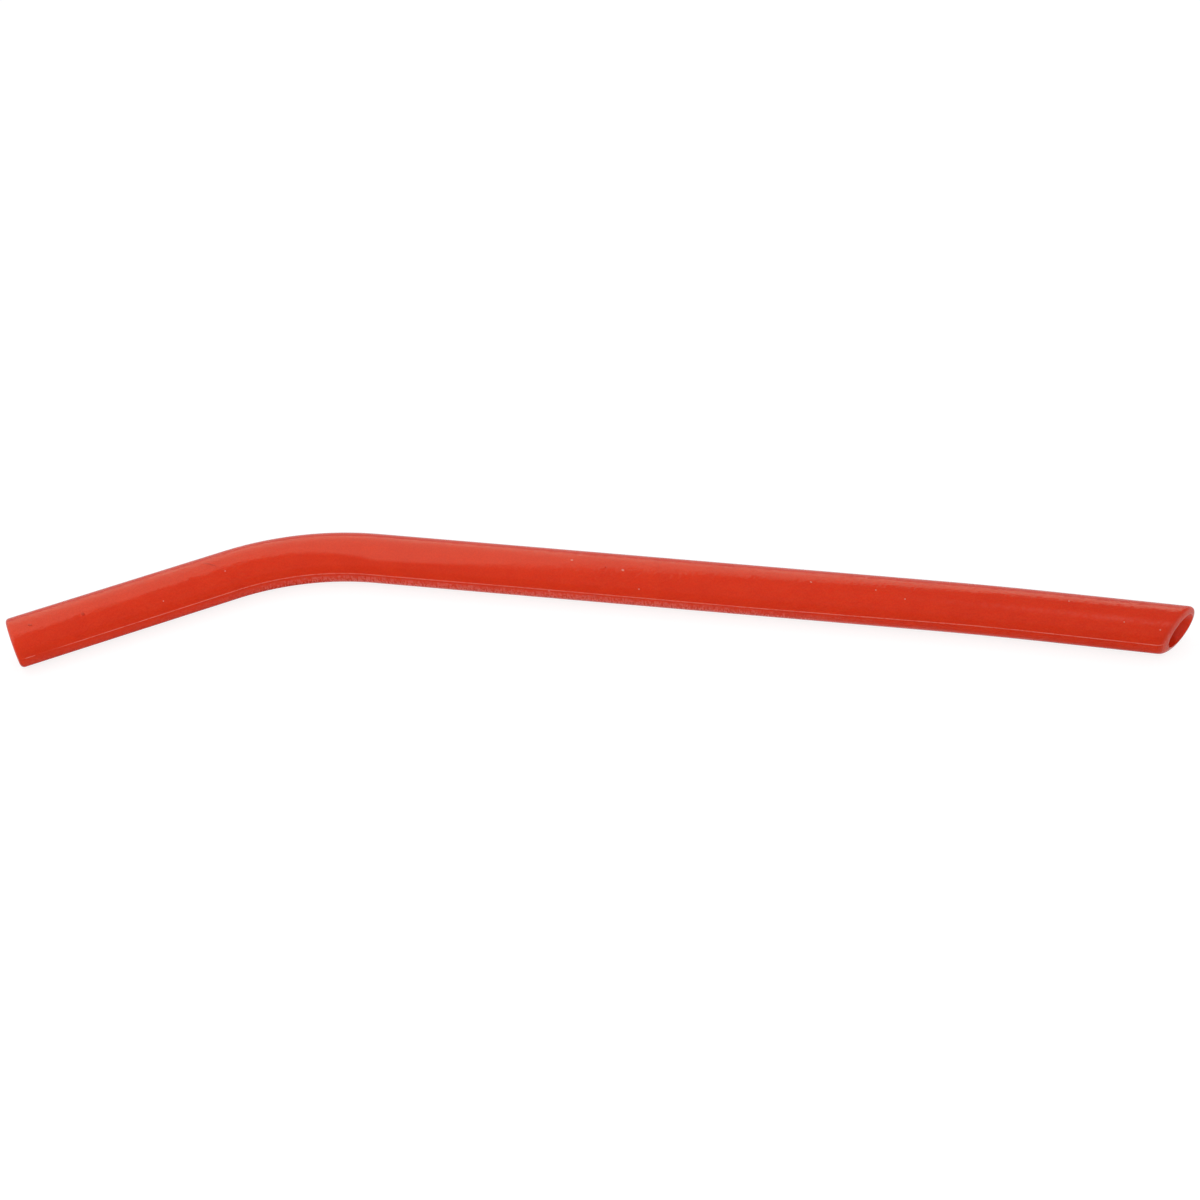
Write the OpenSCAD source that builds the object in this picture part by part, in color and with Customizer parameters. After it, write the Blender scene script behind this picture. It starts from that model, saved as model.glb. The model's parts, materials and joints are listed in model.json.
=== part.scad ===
/* [Tube] */
// Outside diameter of the tube, in mm.
tube_d = 10.5; // [9:0.25:12]
// Diameter of the bore that the drink runs through.
bore_d = 7.25; // [6:0.25:8.25]
// How far each of the two mould lines stands out from the tube.
line_h = 0.15; // [0.05:0.05:0.3]

/* [Bend and mouth leg] */
// Angle that the tube is bent through, in degrees.
bend_deg = 34.5; // [10:0.5:70]
// Radius of the bend, measured to the middle of the tube.
bend_r = 52; // [20:1:80]
// Length of the mouth leg, from the bend to the face of its rim.
mouth_len = 46.8; // [30:0.2:70]
// Radius that the outer edge of the mouth is rounded to.
mouth_round = 0.5; // [0.1:0.1:1]

/* [Long leg] */
// Straight run from the bend to the slight flex.
long_len = 118; // [90:1:150]
// Length from the flex to the slanted face, along the middle of the tube.
tail_len = 26.3; // [18:0.1:45]

/* [Slanted end] */
// Slant of the cut, away from square, in degrees.
slant_deg = 33.5; // [10:0.5:50]
// Degrees that the long side of the cut is turned up, out of the bend's plane.
cut_turn = 6; // [0:0.5:90]
// Radius that the outer edge of the slanted end is rounded to.
tip_round = 1.5; // [0.2:0.1:1.7]
// Radius that the edges of the bore are rounded to, at both ends.
bore_round = 0.1; // [0.05:0.01:0.15]

/* [Hidden] */
$fa = 4;
$fs = 0.4;
tube_r = tube_d / 2;
bore_r = bore_d / 2;
wall = tube_r - bore_r;
// The rounds as they are made: no wall is rounded away completely.
mouth_edge = min(mouth_round, 0.5 * wall);
tip_edge = min(tip_round, 0.925 * wall);
bore_edge = min(bore_round, 0.07 * wall, mouth_edge, tip_edge);
// Cuts reach well past the sides of the tube, and past both its ends.
reach = 4 * tube_d;
far = 400;
// Half the width of the slanted cut: wider than half of any tube here.
cut_half = 10;
// The slight flex near the far end: its angle and the length it takes.
flex_deg = 1.8865;
flex_len = 24;
// Radius of the gentle flex, from its length and angle.
flex_r = flex_len / (flex_deg * PI / 180);
// Degrees that the flex is drawn too long, before it is cut to its angle.
flex_spare = 2;
// Slope of the slanted cut: length gained per mm across the tube.
slope = tan(slant_deg);
// Straight wall of the mouth leg, without its rim.
mouth_wall = mouth_len - mouth_edge;
// Straight wall of the tail on the tube's middle line, without its rim.
tail_wall = tail_len - tip_edge;

// Limits of the lying tube, used to centre it over the origin.
mouth_x = -bend_r * sin(bend_deg) - mouth_wall * cos(bend_deg);
mouth_y = -bend_r * (1 - cos(bend_deg)) - mouth_wall * sin(bend_deg);
low_x = mouth_x - (tube_r - mouth_edge) * sin(bend_deg) - mouth_edge;
rim_low = (tube_r - mouth_edge) * cos(bend_deg) + mouth_edge;
line_low = (tube_r + line_h) * cos(bend_deg);
low_y = mouth_y - max(rim_low, line_low);
tail_x = long_len + flex_r * sin(flex_deg) + tail_wall * cos(flex_deg);
// Slope of the cut along X, with the flex: two slopes at that turn, added.
cut_slope = slope * cos(flex_deg);
turned = 2 * cut_slope * sin(flex_deg) * cos(cut_turn);
tip_slope = sqrt(cut_slope * cut_slope + sin(flex_deg) * sin(flex_deg) + turned);
tip_reach = tip_edge * sqrt(cos(flex_deg) * cos(flex_deg) + tip_slope * tip_slope);
high_x = tail_x + tip_slope * (tube_r - tip_edge) + tip_reach;
high_y = tube_r + line_h;
mid_x = (low_x + high_x) / 2;
mid_y = (low_y + high_y) / 2;

silicone = [0.84, 0.24, 0.13];

// Section of the tube. Its X lies in the plane of the bend, so the two
// mould lines fall on the inside and the outside of the bend.
module tube_section() {
  difference() {
    union() {
      circle(r = tube_r);
      translate([tube_r, 0])
        circle(r = line_h);
      translate([-tube_r, 0])
        circle(r = line_h);
    }
    circle(r = bore_r);
  }
}

// Straight run of tube along +X, starting at X = 0.
module straight_tube(length) {
  rotate([0, 90, 0])
    rotate([0, 0, 90])
      linear_extrude(height = length)
        tube_section();
}

// Part of a ring of tube around Z, from one angle on by another.
module ring_tube(radius, from, by) {
  rotate_extrude(start = from, angle = by)
    translate([radius, 0])
      tube_section();
}

// Block that fills all X up to 0.
module behind() {
  translate([-far, -far, -reach])
    cube([far, 2 * far, 2 * reach]);
}

// Block that fills all X from 0 on.
module ahead() {
  translate([0, -far, -reach])
    cube([far, 2 * far, 2 * reach]);
}

// Turns things about the middle of the bend, with +Y away from it.
module turn_in_bend(angle) {
  translate([0, -bend_r, 0])
    rotate([0, 0, angle])
      translate([0, bend_r, 0])
        children();
}

// Half of the bend, cut off square at X = 0, and the leg that follows it.
module half_bend() {
  intersection() {
    turn_in_bend(-bend_deg / 2)
      union() {
        translate([0, -bend_r, 0])
          ring_tube(bend_r, 90, bend_deg);
        children();
      }
    ahead();
  }
}

// Moves things from the end of the long run to the far end of the flex.
module at_flex_end() {
  translate([long_len, 0, 0])
    translate([0, -flex_r, 0])
      rotate([0, 0, -flex_deg])
        translate([0, flex_r, 0])
          children();
}

// The slight flex between the long run and the tail.
module flex() {
  $fa = 0.25;
  intersection() {
    translate([long_len, -flex_r, 0])
      ring_tube(flex_r, 90 - flex_deg - flex_spare, flex_deg + flex_spare);
    at_flex_end()
      behind();
  }
}

// Quarter of a disc, between its own +X and +Y. It is drawn on a corner.
module quarter(radius) {
  intersection() {
    circle(r = radius);
    square(radius);
  }
}

// Section of a rim: the wall's end, with its outer edge and the edge of the
// bore rounded. X is the distance from the middle of the tube, Y its length.
module rim_section(edge) {
  translate([tube_r - edge, 0])
    quarter(edge);
  translate([bore_r + bore_edge, 0])
    square([wall - edge - bore_edge, edge]);
  translate([bore_r, 0])
    square([bore_edge, edge - bore_edge]);
  translate([bore_r + bore_edge, edge - bore_edge])
    mirror([1, 0])
      quarter(bore_edge);
}

// Rim of the tube, facing +X. Its outer edge is rounded to that radius.
module rim(edge) {
  rotate([0, 90, 0])
    rotate_extrude()
      rim_section(edge);
}

// Mouth leg: straight tube with a square rim.
module mouth_leg() {
  straight_tube(mouth_wall);
  translate([mouth_wall, 0, 0])
    rim(mouth_edge);
}

// Tail: straight tube cut on a slant, longest near the outside of the bend.
module tail() {
  at_flex_end() {
    intersection() {
      straight_tube(tail_wall + reach);
      rotate([cut_turn, 0, 0])
        translate([tail_wall, 0, -reach])
          linear_extrude(height = 2 * reach)
            polygon([
              [-reach, -cut_half],
              [-cut_half * slope, -cut_half],
              [cut_half * slope, cut_half],
              [-reach, cut_half]
            ]);
    }
    rotate([cut_turn, 0, 0])
      translate([tail_wall, 0, 0])
        multmatrix([
          [1, slope, 0, 0],
          [0, 1, 0, 0],
          [0, 0, 1, 0],
          [0, 0, 0, 1]
        ])
          rim(tip_edge);
  }
}

// Long leg: the straight run, the slight flex and the slanted tail.
module long_leg() {
  straight_tube(long_len);
  flex();
  tail();
}

// The whole straw, moulded in one piece and lying on its side. The two
// halves of the bend meet in its middle, and the long run lies along X.
module straw() {
  color(silicone)
    translate([-mid_x, -mid_y, tube_r])
      turn_in_bend(bend_deg / 2)
        union() {
          half_bend()
            long_leg();
          mirror([1, 0, 0])
            half_bend()
              mouth_leg();
        }
}

straw();
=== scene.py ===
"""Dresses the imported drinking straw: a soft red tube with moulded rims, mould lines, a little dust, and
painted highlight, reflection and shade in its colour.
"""

import json
import math

import bpy
import numpy as np
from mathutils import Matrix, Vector, noise

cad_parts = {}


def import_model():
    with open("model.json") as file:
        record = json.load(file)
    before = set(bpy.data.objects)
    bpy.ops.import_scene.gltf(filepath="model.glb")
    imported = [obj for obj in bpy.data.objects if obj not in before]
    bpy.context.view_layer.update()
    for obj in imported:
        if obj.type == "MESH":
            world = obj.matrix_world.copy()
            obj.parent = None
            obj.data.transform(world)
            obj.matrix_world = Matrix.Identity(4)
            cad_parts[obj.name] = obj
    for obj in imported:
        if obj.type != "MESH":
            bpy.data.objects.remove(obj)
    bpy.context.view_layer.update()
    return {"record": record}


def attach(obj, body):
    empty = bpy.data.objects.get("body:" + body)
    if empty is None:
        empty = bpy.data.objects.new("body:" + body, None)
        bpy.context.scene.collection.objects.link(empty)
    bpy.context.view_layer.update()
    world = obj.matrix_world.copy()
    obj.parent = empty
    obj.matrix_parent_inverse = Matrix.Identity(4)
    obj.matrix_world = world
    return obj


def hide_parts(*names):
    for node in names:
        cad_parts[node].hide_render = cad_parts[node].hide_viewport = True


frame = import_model()

MM = 0.001
NODE = "straw"

# Driving dimensions of the tube, in mm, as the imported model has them.
BEND_RADIUS = 52.0
FLEX_LENGTH = 24.0
# The slanted cut: its slope, and how far its long side is turned up, out of the plane of the bend.
SLANT = math.tan(math.radians(33.5))
CUT_TURN = math.radians(6.0)
# The mouth isn't cut quite square: its slope, and where its long side lies, from the outside of the bend.
MOUTH_SLANT = math.tan(math.radians(8.0))
MOUTH_TURN = math.radians(135.0)
# Rounds of the rims: the outer edge at the mouth and at the slanted end, and the edges of the bore.
MOUTH_ROUND = 0.8
TIP_ROUND = 1.5
BORE_ROUND = 0.1

# Mould lines: height and half width of the raised line in mm, and a seed for how each of them varies.
LINE_HEIGHT = 0.13
LINE_HALF_WIDTH = 0.13
FAR_LINE, NEAR_LINE = 11, 37
# How far the near line strays under the plane of the bend: distance along the tube and stray, in mm.
NEAR_LINE_COURSE = [
    (0, 0.1), (45, -0.02), (65, -0.02), (82, 0.08),
    (110, 0.0), (160, 0.18), (205, -0.17), (245, -0.02),
]
# Near the mouth the line shows as far as this, then fades out, and comes back over this length, in mm.
LINE_STUB = 3
LINE_BACK_FROM, LINE_BACK_OVER = 4, 8

# Marks on the outside: distance along in mm, angle in degrees from the top towards the inside of the bend,
# length and width in mm, and turn in degrees.
PITS = [(3.8, 19, 0.9, 0.45, 25), (14.4, 32, 0.7, 0.6, 60)]
# Dark specks, and the pits again: the dark colour laid in the pits is painted shade.
DARK_SPECKS_AND_PITS = PITS + [(127.5, 23, 0.3, 0.3, 0), (42.5, 9, 2.6, 0.16, 42)]
LIGHT_SPECKS = [
    (120.2, 12, 0.55, 0.45, 0), (131.1, 27, 0.6, 0.45, 20), (44.8, 36.5, 0.3, 0.3, 0),
    (30.7, 59, 0.3, 0.3, 0), (115.9, 94, 0.5, 0.3, 0), (134.8, 68, 0.35, 0.3, 0),
    (170.2, 17, 0.45, 0.3, 30), (183.6, 23.5, 0.3, 0.3, 0), (189.7, 39, 0.3, 0.3, 0),
    (222.9, 5, 0.35, 0.3, 0), (234.2, 42.5, 0.3, 0.3, 0), (241.5, 51.5, 0.35, 0.3, 0),
]
PIT_DEPTH = 0.07

# Fineness of the mesh: steps along the outside and the inside in mm, and faces round the tube and over a rim.
OUTER_STEP = 0.5
INNER_STEP = 3.0
FACES_ROUND = 100
OUTER_ROUND_FACES = 10
BORE_ROUND_FACES = 5
# Columns of points close by each mould line, in mm from its middle, and where the even columns begin.
LINE_COLUMNS = [0.0, 0.07, 0.14, 0.21, 0.28, 0.35, 0.42, 0.5]
EVEN_FROM = 0.62

# Colours of the silicone, as linear red, green and blue.
BODY = (0.72, 0.039, 0.0085)
BODY_DEEP = (0.645, 0.030, 0.0075)
BORE = (0.82, 0.046, 0.013)
# Pale dust, also used as the painted highlight on the mould lines and the painted reflection under the near
# line.
DUST_AND_PAINTED_HIGHLIGHT = (0.80, 0.15, 0.11)
LINT = (0.75, 0.45, 0.38)
# Dark specks, and painted shade in the pits.
DARK_SPECK_AND_PIT_SHADE = (0.25, 0.02, 0.01)

# Noises of the silicone, as the number of cells in a metre.
FINE_CELLS = 3300
GRAIN_CELLS = 1200
PATCH_CELLS = 160
# Relief: its unit in m, and the heights of its noises and marks in that unit.
RELIEF = 0.00002
FINE_HEIGHT = 1.0
GRAIN_HEIGHT = 4.0
STREAK_HEIGHT = 1.6
DARK_SPECK_DEPTH = 8.0
LIGHT_SPECK_HEIGHT = 3.0
# From the bend on a stretch is smoother: where it lies along the tube in mm, and the share of grain it lacks.
SMOOTHER = (60, 112)
SMOOTHED_AWAY = 0.7
# How rough the gloss is, from the lows of the grain to its highs, and what full dust adds.
ROUGHNESS = (0.06, 0.1)
DUST_ROUGHNESS = 0.5

# Dust under the near mould line, with a painted reflection of the ground: the angles it lies between, and
# where along the tube it comes and goes.
UNDER_BAND = (98, 175)
UNDER_COMES = (25, 80)
UNDER_GOES = (130, 205)
# Streak of dust along the tail: its angles, and where it comes.
STREAK_BAND = (32, 41)
STREAK_COMES = (180, 243)
# Dust on the rims: from 0 at the outside to 1 at the bore, and its angles.
RIM_DEPTHS = (0.3, 0.97)
RIM_BAND = (-60, 140)
# How thick the three of them lie.
UNDER_DUST_AND_REFLECTION = 0.8
STREAK_DUST = 0.3
RIM_DUST = 0.85

# Painted highlight on a mould line: degrees from its middle between which it ends, where the short piece at
# the mouth lies along the tube in mm, and where the line comes back.
LINE_HIGHLIGHT_ENDS = (0.8, 1.8)
STUB_HIGHLIGHT = (0.9, 2.9)
LINE_HIGHLIGHT_BACK = (5, 13)

# Camera: the point it looks at in mm, its direction from there in degrees, distance in mm and lens in mm.
LOOK_AT = (-1.308, 10.105, 5.25)
CAMERA_AZIMUTH = 7.34
CAMERA_ELEVATION = 41.87
CAMERA_DISTANCE = 444.1
CAMERA_LENS = 63.9
SENSOR_WIDTH = 36.0

# The ground: its colour, how much of its shade the camera sees, and the plain white that is added to that.
GROUND = 0.9
GROUND_SHADE = 0.25
GROUND_WHITE = 0.84
# The ground as mirrored in the gloss: its colour in front of the straw, and how plainly pale it is behind.
GROUND_MIRRORED = 0.3
BACKDROP_MIRRORED = 0.75
# The ground's size in m: half its width, its front and back edge, the curve behind and the top of that.
GROUND_HALF_WIDTH = 2.0
GROUND_FRONT, GROUND_BACK = -2.0, 0.55
GROUND_CURVE, GROUND_TOP = 0.2, 0.6
CURVE_FACES = 12

# The bright pane that is mirrored in the straw's upper side: its brightness, colour and height in m.
# Its right edge is given from front to back, and the other points lie far to the left and the back.
PANE_WHITE = 2.7
PANE_COLOUR = (1.0, 0.97, 0.78, 1)
PANE_HEIGHT = 0.258
PANE_EDGE = [
    (-0.228, -0.65), (-0.105, -0.27), (-0.035, -0.048), (0.0, 0.052),
    (0.06, 0.142), (0.134, 0.234), (0.33, 0.4),
]
PANE_BACK = [(0.6, 1.2), (-1.2, 1.2), (-1.2, -0.65)]

# Lamps: place, the point that each faces, size in m and brightness of the face.
SKY = ((-0.08, -0.06, 0.45), (-0.08, 0.0, 0.0), (0.5, 0.65), 1.19)
FILL = ((0.0, -0.22, 0.05), (0.0, 0.0, 0.0), (0.12, 0.1), 1.5)
# How bright the plain light from all around is.
WORLD_LIGHT = 0.53


def mount(name):
    """The record's mount of that name: where it is and which way it points, in mm, with its sizes."""
    found = next(m for m in frame["record"]["mounts"] if m["name"] == name)
    place = np.array(found["pos_m"]) / MM
    return place, np.array(found["axis"]), found["dims"]


class Route:
    """The middle line of the tube, from the mouth to the slanted end, worked out from the record's mounts."""

    def __init__(self):
        mouth, mouth_way, mouth_dims = mount("mouth_bore")
        tail, tail_way, tail_dims = mount("tail_bore")
        stem_dims = mount("tail_stem")[2]
        self.tube_r = stem_dims["r_mm"]
        self.bore_r = mouth_dims["r_mm"]
        self.height = mouth[2]
        self.mouth = mouth
        self.tail_place = tail
        bend = math.acos(-mouth_way[0])
        flex = math.acos(tail_way[0])
        mouth_wall = mouth_dims["length_mm"]
        bend_start = mouth - mouth_way * mouth_wall
        bend_middle = bend_start + BEND_RADIUS * np.array([math.sin(bend), -math.cos(bend), 0])
        run_start = bend_middle + np.array([0, BEND_RADIUS, 0])
        corner = tail - tail_way * ((tail[1] - run_start[1]) / tail_way[1])
        flex_radius = FLEX_LENGTH / flex
        flex_reach = flex_radius * math.tan(flex / 2)
        run = corner[0] - flex_reach - run_start[0]
        tail_wall = tail_dims["length_mm"] - SLANT * self.bore_r
        # Each stretch: its length, and how far the tube turns to the right in it.
        self.stretches = [
            (mouth_wall, 0),
            (BEND_RADIUS * bend, bend),
            (run, 0),
            (FLEX_LENGTH, flex),
            (tail_wall, 0),
        ]
        self.start_heading = bend
        self.length = sum(length for length, turn in self.stretches)
        self.tail_from = self.length - tail_wall
        # The faces of the rims, where they cross the middle line.
        self.mouth_face = -BORE_ROUND
        self.tail_face = self.length + BORE_ROUND

    def at(self, along):
        """Place on the middle line and the level direction out of the bend, for distances along it, in mm."""
        place = np.repeat(self.mouth[None, :2], along.size, 0)
        heading = np.full(along.size, self.start_heading)
        left = along.copy()
        last = len(self.stretches) - 1
        for number, (length, turn) in enumerate(self.stretches):
            # The first and the last stretch also carry what lies beyond their ends.
            low = -np.inf if number == 0 else 0
            high = np.inf if number == last else length
            part = np.clip(left, low, high)
            swing = turn * part / length
            half = heading - swing / 2
            chord = part * np.sinc(swing / 2 / math.pi)
            place = place + chord[:, None] * np.stack([np.cos(half), np.sin(half)], 1)
            heading = heading - swing
            left = left - part
        return place, np.stack([-np.sin(heading), np.cos(heading)], 1)


route = Route()


def angles_round():
    """Angles round the tube, from the outside of the bend over the top, close together at the mould lines."""
    edge = EVEN_FROM / route.tube_r
    angles = list(np.linspace(edge, math.pi - edge, FACES_ROUND // 2))
    for offset in LINE_COLUMNS:
        angles.append(offset / route.tube_r)
        angles.append(math.pi - offset / route.tube_r)
    angles += [-a for a in angles if 0 < a < math.pi]
    return np.array(sorted(a % (2 * math.pi) for a in angles))


# The angles of the columns, and the points of a circle of radius 1 at them: out of the bend, and up.
ROUND = angles_round()
ACROSS = np.stack([np.cos(ROUND), np.sin(ROUND)], 1)
COLUMNS = len(ROUND)


def ripple(along, size, seed):
    """Smooth random variation between about -1 and 1, over that many mm."""
    return noise.noise(Vector((along / size, 0, seed)))


def line_height(along, side):
    """Height of a mould line at one place along the tube. It fades near the mouth."""
    strength = 0.8 + 0.35 * ripple(along, 6, side) + 0.25 * ripple(along, 1.5, side + 5)
    fade = min(1, max(0.15, (along - LINE_BACK_FROM) / LINE_BACK_OVER))
    if along < LINE_STUB:
        fade = 1
    return LINE_HEIGHT * max(0.1, strength) * fade


def line_wander(along, side):
    """How far a mould line strays from the plane of the bend, in mm. The near one's course is the photo's."""
    if side == NEAR_LINE:
        places, strays = zip(*NEAR_LINE_COURSE)
        return np.interp(along, places, strays)
    return np.array([0.08 * ripple(float(place), 40, side) for place in along])


def ridges(along, heights):
    """What the two mould lines add to the radius, for each distance along, angle and height of a line."""
    added = np.zeros((along.size, COLUMNS))
    for side, line_angle, height in ((FAR_LINE, 0.0, heights[0]), (NEAR_LINE, math.pi, heights[1])):
        centre = line_angle + line_wander(along, side)[:, None] / route.tube_r
        away = np.abs((ROUND[None, :] - centre + math.pi) % (2 * math.pi) - math.pi) * route.tube_r
        added += np.reshape(height, (-1, 1)) * np.exp(-(away / LINE_HALF_WIDTH) ** 2)
    return added


def pit(along, place, angle, length, width, turn):
    """What a pit takes from the radius, for each distance along and angle."""
    over = (ROUND[None, :] - math.radians(90 + angle)) * route.tube_r
    past = (along - place)[:, None]
    turn = math.radians(turn)
    lengthwise = (past * math.cos(turn) + over * math.sin(turn)) / (length / 2)
    crosswise = (over * math.cos(turn) - past * math.sin(turn)) / (width / 2)
    return PIT_DEPTH * np.exp(-(lengthwise ** 2 + crosswise ** 2))


def outer_radius(along):
    """Radius of the outside for each distance along and angle: the tube, its mould lines and its pits."""
    heights = [[line_height(float(place), side) for place in along] for side in (FAR_LINE, NEAR_LINE)]
    radius = route.tube_r + ridges(along, heights)
    for mark in PITS:
        radius -= pit(along, *mark)
    return radius


def rim_rounds(face, way, outer_round, slant, long_side):
    """Rows of points over a rim, from the outside to the bore: along the tube, out of the bend and up.

    The section of a square rim is pushed out along the tube, further towards the long side of the cut.
    """
    section = []
    for step in range(OUTER_ROUND_FACES + 1):
        turn = math.pi / 2 * step / OUTER_ROUND_FACES
        inward, ahead = 1 - math.cos(turn), math.sin(turn) - 1
        section.append((route.tube_r - outer_round * inward, outer_round * ahead))
    for step in range(BORE_ROUND_FACES, -1, -1):
        turn = math.pi / 2 * step / BORE_ROUND_FACES
        outward, ahead = 1 - math.cos(turn), math.sin(turn) - 1
        section.append((route.bore_r + BORE_ROUND * outward, BORE_ROUND * ahead))
    rows = np.empty((len(section), COLUMNS, 3))
    ridge = ridges(np.array([face]), np.full(2, LINE_HEIGHT))[0]
    for number, (radius, past_face) in enumerate(section):
        # The mould lines run on over half of the outer round, and fade there.
        radius = radius + ridge * max(0, 1 - 2 * number / OUTER_ROUND_FACES)
        rows[number, :, 1:] = ACROSS * radius[:, None]
        rows[number, :, 0] = face + way * (past_face + slant * radius * np.cos(ROUND - long_side))
    return rows


def even_rows(first, last, step):
    """Rows of points round a tube of radius 1, at even steps along it."""
    along = np.arange(first, last, step)
    across = np.repeat(ACROSS[None], along.size, 0)
    return np.concatenate([np.repeat(along[:, None, None], COLUMNS, 1), across], 2)


def fitted_rows(first, last, count):
    """Rows of points round a tube of radius 1, between two ends that may differ from angle to angle."""
    share = (np.arange(1, count) / count)[:, None]
    along = first[None, :] * (1 - share) + last[None, :] * share
    return np.concatenate([along[..., None], np.repeat(ACROSS[None], count - 1, 0)], 2)


def outside_rows(mouth_rim, tail_rim):
    """Rows over the outside, at even steps up to the tail and then fitted to the slanted rim."""
    even = even_rows(mouth_rim[0, :, 0].max() + OUTER_STEP, route.tail_from, OUTER_STEP)
    even[..., 1:] *= outer_radius(even[:, 0, 0])[..., None]
    tail_start = np.full(COLUMNS, route.tail_from - OUTER_STEP / 2)
    count = int((route.length - route.tail_from) / OUTER_STEP)
    fitted = fitted_rows(tail_start, tail_rim[0, :, 0], count)
    fitted[..., 1:] *= outer_radius(np.median(fitted[..., 0], 1))[..., None]
    return np.concatenate([even, fitted])


def bore_rows(tail_rim):
    """Rows down the bore, from the mouth to the slanted rim."""
    count = int((route.length - route.tail_from) / INNER_STEP)
    fitted = fitted_rows(np.full(COLUMNS, route.tail_from), tail_rim[-1, :, 0], count)
    rows = np.concatenate([even_rows(INNER_STEP, route.tail_from, INNER_STEP), fitted])
    rows[..., 1:] *= route.bore_r
    return rows


def tube_rows():
    """All rows of the closed tube in order, and the depth of each: 0 outside, 1 in the bore, rims between."""
    tail_rim = rim_rounds(route.tail_face, 1, TIP_ROUND, SLANT, CUT_TURN)
    mouth_rim = rim_rounds(route.mouth_face, -1, MOUTH_ROUND, MOUTH_SLANT, MOUTH_TURN)
    outside = outside_rows(mouth_rim, tail_rim)
    bore = bore_rows(tail_rim)
    over_rim = np.linspace(0, 1, len(tail_rim))
    rows = np.concatenate([outside, tail_rim, bore[::-1], mouth_rim[::-1]])
    depth = np.concatenate([np.zeros(len(outside)), over_rim, np.ones(len(bore)), over_rim[::-1]])
    return rows, depth


def to_space(rows):
    """Points in space, in metres, for points given along the tube, out of the bend and up."""
    flat = rows.reshape(-1, 3)
    place, outward = route.at(flat[:, 0])
    return np.concatenate([place + flat[:, 1:2] * outward, route.height + flat[:, 2:3]], 1) * MM


def build_tube():
    """The whole tube as one closed mesh, with its length and its angle in a UV map."""
    rows, depth = tube_rows()
    row, column = np.meshgrid(np.arange(len(rows)), np.arange(COLUMNS), indexing="ij")
    next_row = (row + 1) % len(rows)
    next_column = (column + 1) % COLUMNS
    corners = [(row, column), (next_row, column), (next_row, next_column), (row, next_column)]
    faces = np.stack([(r * COLUMNS + c).ravel() for r, c in corners], 1)
    mesh = bpy.data.meshes.new("straw_tube")
    mesh.from_pydata(to_space(rows).tolist(), [], faces.tolist())
    # Angle in degrees from the top towards the inside of the bend, without a jump inside a face.
    angle = (np.degrees(ROUND) - 90 + 180) % 360 - 180
    first = angle[column].ravel()
    second = angle[next_column].ravel()
    second = np.where(second < first - 180, second + 360, second)
    along = rows[..., 0].ravel()
    unrolled = np.empty((len(faces), 4, 2))
    for number, turned in enumerate((first, first, second, second)):
        unrolled[:, number] = np.stack([along[faces[:, number]], turned], 1)
    layer = mesh.uv_layers.new(name="unrolled")
    layer.data.foreach_set("uv", unrolled.astype(np.float32).ravel())
    inside = mesh.attributes.new("inside", "FLOAT", "POINT")
    inside.data.foreach_set("value", np.repeat(depth, COLUMNS).astype(np.float32))
    mesh.shade_smooth()
    mesh.validate()
    tube = bpy.data.objects.new("straw_tube", mesh)
    bpy.context.scene.collection.objects.link(tube)
    return tube


class Nodes:
    """Short names for the few kinds of node that the materials and the world are built from."""

    def __init__(self, owner):
        owner.use_nodes = True
        self.tree = owner.node_tree
        self.tree.nodes.clear()

    def add(self, kind, inputs=None, **settings):
        """Adds a node. Inputs that are sockets get linked, and others are set as values."""
        node = self.tree.nodes.new("ShaderNode" + kind)
        for name, value in settings.items():
            setattr(node, name, value)
        for name, value in (inputs or {}).items():
            if isinstance(value, bpy.types.NodeSocket):
                self.tree.links.new(value, node.inputs[name])
            else:
                node.inputs[name].default_value = value
        return node

    def math(self, operation, a, b=0.0):
        """One sum on two values or sockets."""
        return self.add("Math", {0: a, 1: b}, operation=operation).outputs[0]

    def product(self, *values):
        """All of the values multiplied."""
        result = values[0]
        for value in values[1:]:
            result = self.math("MULTIPLY", result, value)
        return result

    def step(self, value, low, high, start=0.0, end=1.0):
        """Smooth change from start to end, as value goes from low to high."""
        inputs = {"Value": value, "From Min": low, "From Max": high, "To Min": start, "To Max": end}
        return self.add("MapRange", inputs, interpolation_type="SMOOTHSTEP").outputs[0]

    def band(self, value, low, high, soft):
        """1 between low and high and 0 outside them, with soft edges."""
        rise = self.step(value, low - soft, low + soft)
        return self.product(rise, self.step(value, high - soft, high + soft, 1.0, 0.0))

    def noise(self, place, scale, detail=2.0, roughness=0.5):
        """Noise between 0 and 1."""
        inputs = {"Vector": place, "Scale": scale, "Detail": detail, "Roughness": roughness}
        return self.add("TexNoise", inputs).outputs[0]

    def stretched(self, vector, x, y, z=1.0):
        """A vector with each part multiplied."""
        return self.add("VectorMath", {0: vector, 1: (x, y, z)}, operation="MULTIPLY").outputs[0]

    def mix(self, share, a, b):
        """Colour a, going over to colour b as share goes from 0 to 1."""
        node = self.add("Mix", {0: share}, data_type="RGBA")
        for socket, value in ((node.inputs[6], a), (node.inputs[7], b)):
            if isinstance(value, bpy.types.NodeSocket):
                self.tree.links.new(value, socket)
            else:
                socket.default_value = (*value, 1)
        return node.outputs[2]


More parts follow.
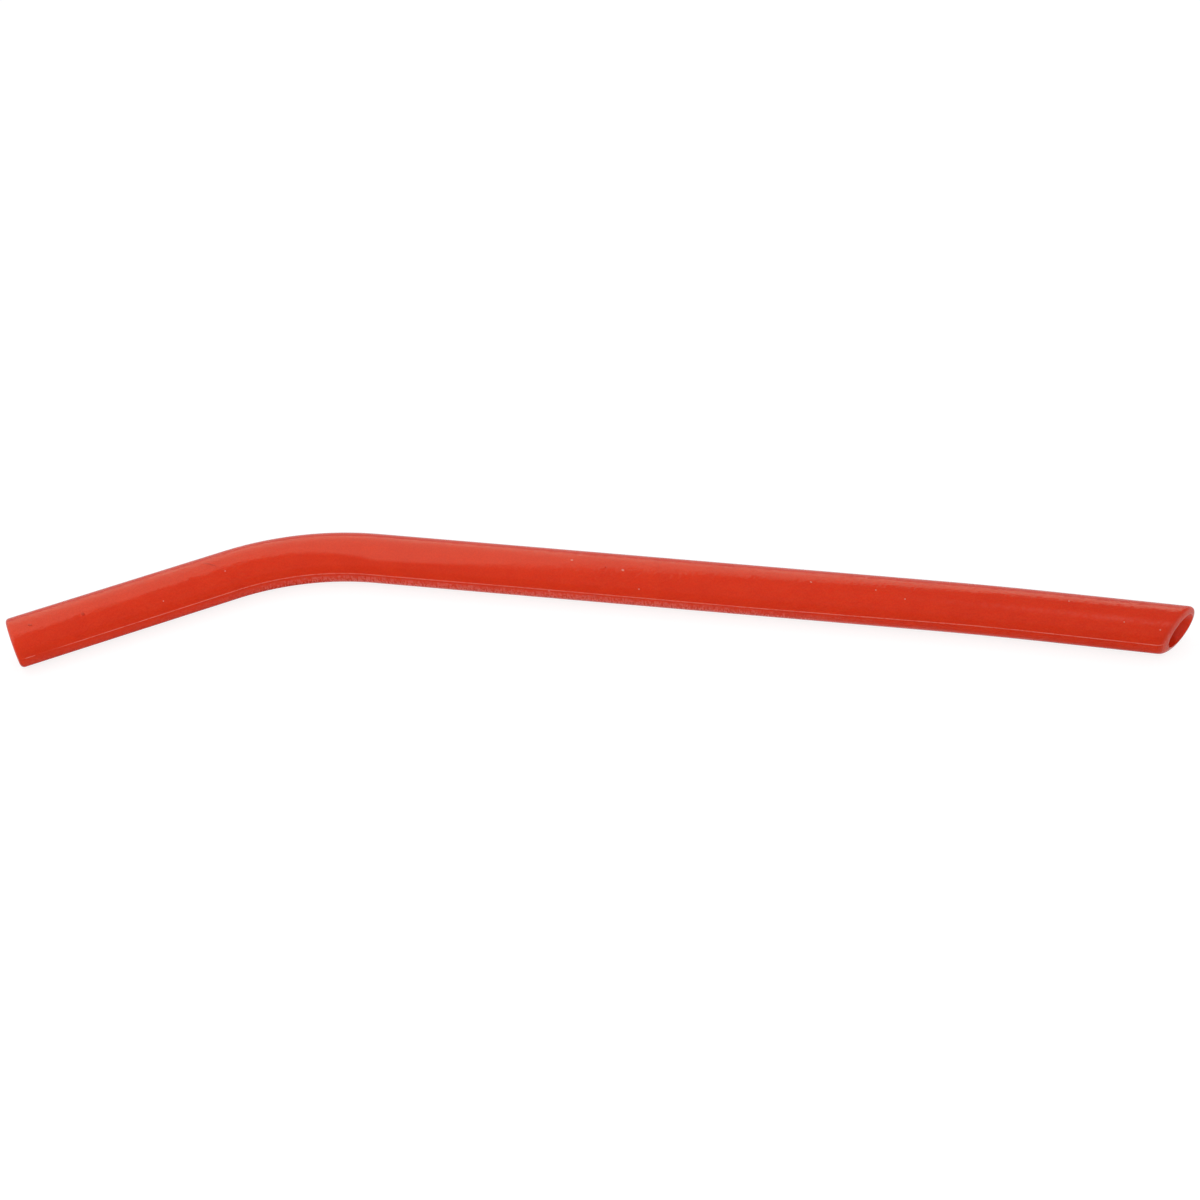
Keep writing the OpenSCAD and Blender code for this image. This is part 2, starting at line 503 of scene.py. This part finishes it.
class Surface:
    """Where a point lies on the tube, and the noises that vary the silicone there, as sockets."""

    def __init__(self, n):
        uv = n.add("UVMap", uv_map="unrolled").outputs[0]
        parts = n.add("SeparateXYZ", {0: uv})
        self.along = parts.outputs[0]
        self.angle = parts.outputs[1]
        # The outside laid flat, in mm both ways.
        self.unrolled = n.stretched(uv, 1, math.radians(1) * route.tube_r, 0)
        self.inside = n.add("Attribute", attribute_name="inside").outputs["Fac"]
        self.outside = n.step(self.inside, 0.0, 0.12, 1.0, 0.0)
        space = n.add("TexCoord").outputs["Object"]
        self.fine = n.noise(space, FINE_CELLS, 0, 0.5)
        self.grain = n.noise(space, GRAIN_CELLS, 1, 0.5)
        self.patches = n.noise(space, PATCH_CELLS, 3, 0.5)


def marks(n, surface, places):
    """Mask of small marks at those places on the outside."""
    total = 0.0
    for along, angle, length, width, turn in places:
        mapping = {
            "Vector": surface.unrolled,
            "Location": (along, math.radians(angle) * route.tube_r, 0),
            "Rotation": (0, 0, math.radians(turn)),
            "Scale": (length / 2, width / 2, 1),
        }
        inside = n.add("Mapping", mapping, vector_type="TEXTURE").outputs[0]
        away = n.add("VectorMath", {0: inside}, operation="LENGTH").outputs["Value"]
        total = n.math("ADD", total, n.step(away, 0.5, 1.3, 1.0, 0.0))
    return n.math("MINIMUM", total, 1.0)


def stray_curve(n, along):
    """Degrees that the near line strays from the plane of the bend, as a chain of straight runs."""
    total = 0.0
    for (start, before), (end, after) in zip(NEAR_LINE_COURSE, NEAR_LINE_COURSE[1:]):
        change = math.degrees((before - after) / route.tube_r)
        inputs = {"Value": along, "From Min": start, "From Max": end, "To Min": 0.0, "To Max": change}
        total = n.math("ADD", total, n.add("MapRange", inputs).outputs[0])
    return n.math("SUBTRACT", total, math.degrees(NEAR_LINE_COURSE[0][1] / route.tube_r))


def dust_and_reflection_mask(n, surface):
    """Dust with a painted reflection under the near mould line, dust in a faint streak along the tail, and on
    the rims.
    """
    along, angle, grain = surface.along, surface.angle, surface.grain
    # Under the line the dust and painted reflection lie in short strokes across the tube, mostly from the
    # bend to the middle.
    strokes = n.noise(n.stretched(surface.unrolled, 2.6, 0.5), 1.0, 3, 0.6)
    under = n.product(n.step(grain, 0.3, 0.65, 0.5, 1.0), n.step(strokes, 0.3, 0.65, 0.3, 1.0))
    under = n.product(n.band(angle, *UNDER_BAND, 6), under)
    under = n.product(under, n.step(along, *UNDER_COMES, 0.15, 1.0), n.step(along, *UNDER_GOES, 1.0, 0.1))
    streak = n.product(n.band(angle, *STREAK_BAND, 7), n.step(along, *STREAK_COMES))
    streak = n.product(streak, n.step(grain, 0.35, 0.65, 0.35, 1.0))
    rim = n.product(n.band(surface.inside, *RIM_DEPTHS, 0.15), n.band(angle, *RIM_BAND, 15))
    rim = n.product(rim, n.step(grain, 0.3, 0.7, 0.7, 1.0))
    dust_and_reflection = n.math("MAXIMUM", n.product(streak, STREAK_DUST), n.product(rim, RIM_DUST))
    return n.math("MAXIMUM", n.product(under, UNDER_DUST_AND_REFLECTION), dust_and_reflection)


def line_highlight_mask(n, surface):
    """The mould lines as a painted highlight, pale where their ridge catches the light. They are worn away
    near the mouth.
    """
    course = n.math("ADD", surface.angle, stray_curve(n, surface.along))
    off_line = n.math("ABSOLUTE", n.math("SUBTRACT", n.math("ABSOLUTE", course), 90))
    stub = n.band(surface.along, *STUB_HIGHLIGHT, 0.3)
    kept = n.math("MAXIMUM", stub, n.step(surface.along, *LINE_HIGHLIGHT_BACK, 0.05, 1.0))
    before_bore = n.step(surface.inside, 0.2, 0.45, 1.0, 0.0)
    line = n.product(n.step(off_line, *LINE_HIGHLIGHT_ENDS, 1.0, 0.0), before_bore, kept)
    broken = n.noise(n.stretched(surface.unrolled, 0.9, 0.05), 1.0, 2)
    return n.product(line, n.step(broken, 0.3, 0.55, 0.5, 0.95))


def silicone_colour(n, surface, dust_and_reflection, light, dark):
    """Colour: deeper in patches and grains, with dust and a painted reflection under the near line, a painted
    highlight on the mould lines, a clean bore, and specks with painted shade in the pits.
    """
    deep = n.step(surface.patches, 0.35, 0.7, 0.0, 0.35)
    deep = n.math("ADD", deep, n.step(surface.fine, 0.3, 0.7, 0.0, 0.5))
    colour = n.mix(deep, BODY, BODY_DEEP)
    # Dust, with a painted reflection in the band under the near line.
    colour = n.mix(n.product(dust_and_reflection, n.step(surface.fine, 0.3, 0.7, 0.7, 1.0)), colour, DUST_AND_PAINTED_HIGHLIGHT)
    # Painted highlight along the mould lines.
    colour = n.mix(line_highlight_mask(n, surface), colour, DUST_AND_PAINTED_HIGHLIGHT)
    colour = n.mix(n.step(surface.inside, 0.93, 1.0), colour, BORE)
    colour = n.mix(n.product(light, surface.outside, 0.5), colour, LINT)
    # Dark specks, and painted shade in the pits.
    return n.mix(n.product(dark, surface.outside, 0.3), colour, DARK_SPECK_AND_PIT_SHADE)


def silicone_relief(n, surface, light, dark):
    """Height of the fine relief: grain, streaks along the tube, specks and pits."""
    streaks = n.noise(n.stretched(surface.unrolled, 0.05, 1.4), 1.0, 3, 0.5)
    grain = n.product(surface.grain, GRAIN_HEIGHT)
    height = n.math("ADD", n.product(surface.fine, FINE_HEIGHT), grain)
    smoother = n.product(n.band(surface.along, *SMOOTHER, 14), SMOOTHED_AWAY)
    height = n.product(height, n.math("SUBTRACT", 1.0, smoother))
    height = n.math("ADD", height, n.product(streaks, STREAK_HEIGHT))
    height = n.math("SUBTRACT", height, n.product(dark, DARK_SPECK_DEPTH))
    return n.math("ADD", height, n.product(light, LIGHT_SPECK_HEIGHT))


def silicone():
    """Red silicone: a slightly grainy gloss, dust with a painted reflection along the lower side, dust on the
    rims, mould lines with a painted highlight, and painted shade in the pits.
    """
    material = bpy.data.materials.new("silicone")
    n = Nodes(material)
    surface = Surface(n)
    dust_and_reflection = dust_and_reflection_mask(n, surface)
    light = marks(n, surface, LIGHT_SPECKS)
    dark = marks(n, surface, DARK_SPECKS_AND_PITS)
    colour = silicone_colour(n, surface, dust_and_reflection, light, dark)
    # Dust, and the painted reflection under the near line, take the gloss away.
    clean = n.step(surface.grain, 0.3, 0.7, *ROUGHNESS)
    rough = n.math("ADD", clean, n.product(dust_and_reflection, DUST_ROUGHNESS))
    relief = {"Strength": 1.0, "Distance": RELIEF, "Height": silicone_relief(n, surface, light, dark)}
    bump = n.add("Bump", relief).outputs[0]
    shader = n.add("BsdfPrincipled", {"Base Color": colour, "Roughness": rough, "Normal": bump})
    shader.inputs["IOR"].default_value = 1.41
    shader.inputs["Specular IOR Level"].default_value = 0.27
    shader.inputs["Subsurface Weight"].default_value = 0.35
    shader.inputs["Subsurface Radius"].default_value = (1.0, 0.1, 0.04)
    shader.inputs["Subsurface Scale"].default_value = 0.0015
    n.add("OutputMaterial", {"Surface": shader.outputs[0]})
    return material


def camera():
    """Camera at the photograph's angle, above the near side of the straw."""
    azimuth = math.radians(CAMERA_AZIMUTH)
    elevation = math.radians(CAMERA_ELEVATION)
    level = math.cos(elevation)
    back = Vector((math.sin(azimuth) * level, -math.cos(azimuth) * level, math.sin(elevation)))
    data = bpy.data.cameras.new("camera")
    data.lens = CAMERA_LENS
    data.sensor_width = SENSOR_WIDTH
    data.clip_start, data.clip_end = 0.01, 10
    holder = bpy.data.objects.new("camera", data)
    holder.location = Vector(LOOK_AT) * MM + back * CAMERA_DISTANCE * MM
    holder.rotation_mode = "QUATERNION"
    holder.rotation_quaternion = (-back).to_track_quat("-Z", "Y")
    bpy.context.scene.collection.objects.link(holder)
    bpy.context.scene.camera = holder


def behind_straw(n):
    """How far a point of the ground lies behind the middle line of the straw, in m."""
    place = n.add("SeparateXYZ", {0: n.add("TexCoord").outputs["Object"]})
    run_y = route.tail_place[1] * MM
    slope = math.tan(route.start_heading)
    # The mouth leg turns off towards the camera where its middle line would cross the long run's.
    leg_from = (route.mouth[0] + (route.tail_place[1] - route.mouth[1]) / slope) * MM
    leg = n.math("MINIMUM", n.product(n.math("SUBTRACT", place.outputs[0], leg_from), slope), 0.0)
    return n.math("SUBTRACT", n.math("SUBTRACT", place.outputs[1], leg), run_y)


def ground_material():
    """Pale ground that shows white, and still keeps part of the straw's shadow."""
    material = bpy.data.materials.new("ground")
    n = Nodes(material)
    path = n.add("LightPath")
    in_gloss = path.outputs["Is Glossy Ray"]
    plain = n.add("BsdfDiffuse", {"Color": n.mix(in_gloss, (GROUND,) * 3, (GROUND_MIRRORED,) * 3)})
    pale = n.add("Emission", {"Color": (1, 1, 1, 1), "Strength": BACKDROP_MIRRORED})
    rear = n.product(in_gloss, n.step(behind_straw(n), -0.005, -0.001))
    unseen = n.add("MixShader", {0: rear, 1: plain.outputs[0], 2: pale.outputs[0]})
    shaded = n.add("BsdfDiffuse", {"Color": (GROUND_SHADE, GROUND_SHADE, GROUND_SHADE, 1)})
    white = n.add("Emission", {"Color": (1, 1, 1, 1), "Strength": GROUND_WHITE})
    shown = n.add("AddShader", {0: shaded.outputs[0], 1: white.outputs[0]})
    seen = path.outputs["Is Camera Ray"]
    both = n.add("MixShader", {0: seen, 1: unseen.outputs[0], 2: shown.outputs[0]})
    n.add("OutputMaterial", {"Surface": both.outputs[0]})
    return material


def ground():
    """Floor that curves up into a low wall far behind the straw, outside the camera's view."""
    profile = [(GROUND_FRONT, 0.0)]
    for step in range(CURVE_FACES + 1):
        turn = math.pi / 2 * step / CURVE_FACES
        profile.append((GROUND_BACK + GROUND_CURVE * math.sin(turn), GROUND_CURVE * (1 - math.cos(turn))))
    profile.append((GROUND_BACK + GROUND_CURVE, GROUND_TOP))
    corners = [(x, y, z) for y, z in profile for x in (-GROUND_HALF_WIDTH, GROUND_HALF_WIDTH)]
    faces = [(2 * i, 2 * i + 1, 2 * i + 3, 2 * i + 2) for i in range(len(profile) - 1)]
    mesh = bpy.data.meshes.new("ground")
    mesh.from_pydata(corners, [], faces)
    mesh.shade_smooth()
    mesh.materials.append(ground_material())
    floor = bpy.data.objects.new("ground", mesh)
    bpy.context.scene.collection.objects.link(floor)


def pane():
    """A bright pane over the left and back of the straw, which only shows mirrored in the gloss."""
    corners = [(x, y, PANE_HEIGHT) for x, y in PANE_EDGE + PANE_BACK]
    mesh = bpy.data.meshes.new("pane")
    mesh.from_pydata(corners, [], [list(range(len(corners)))])
    material = bpy.data.materials.new("pane")
    n = Nodes(material)
    glow = n.add("Emission", {"Color": PANE_COLOUR, "Strength": PANE_WHITE})
    n.add("OutputMaterial", {"Surface": glow.outputs[0]})
    mesh.materials.append(material)
    panel = bpy.data.objects.new("pane", mesh)
    panel.visible_camera = False
    panel.visible_diffuse = False
    panel.visible_transmission = False
    panel.visible_shadow = False
    bpy.context.scene.collection.objects.link(panel)


def lamp(name, place, aim, size, radiance):
    """Soft rectangular lamp that faces aim, set by the brightness of its face. The gloss doesn't show it."""
    data = bpy.data.lights.new(name, "AREA")
    data.shape = "RECTANGLE"
    data.size, data.size_y = size
    data.energy = math.pi * size[0] * size[1] * radiance
    holder = bpy.data.objects.new(name, data)
    holder.location = Vector(place)
    holder.rotation_mode = "QUATERNION"
    holder.rotation_quaternion = (Vector(aim) - Vector(place)).to_track_quat("-Z", "Y")
    holder.visible_camera = False
    holder.visible_glossy = False
    bpy.context.scene.collection.objects.link(holder)


def world():
    """Plain light from all around. The camera sees white past the ground."""
    surroundings = bpy.data.worlds.new("world")
    n = Nodes(surroundings)
    seen = n.add("LightPath").outputs["Is Camera Ray"]
    strength = n.step(seen, 0.0, 1.0, WORLD_LIGHT, 1.0)
    background = n.add("Background", {"Color": (1, 1, 1, 1), "Strength": strength})
    n.add("OutputWorld", {"Surface": background.outputs[0]})
    bpy.context.scene.world = surroundings


tube = build_tube()
tube.data.materials.append(silicone())
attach(tube, "root")
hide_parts(NODE)

camera()
ground()
pane()
lamp("sky", *SKY)
lamp("fill", *FILL)
world()
bpy.context.scene.view_settings.view_transform = "Standard"
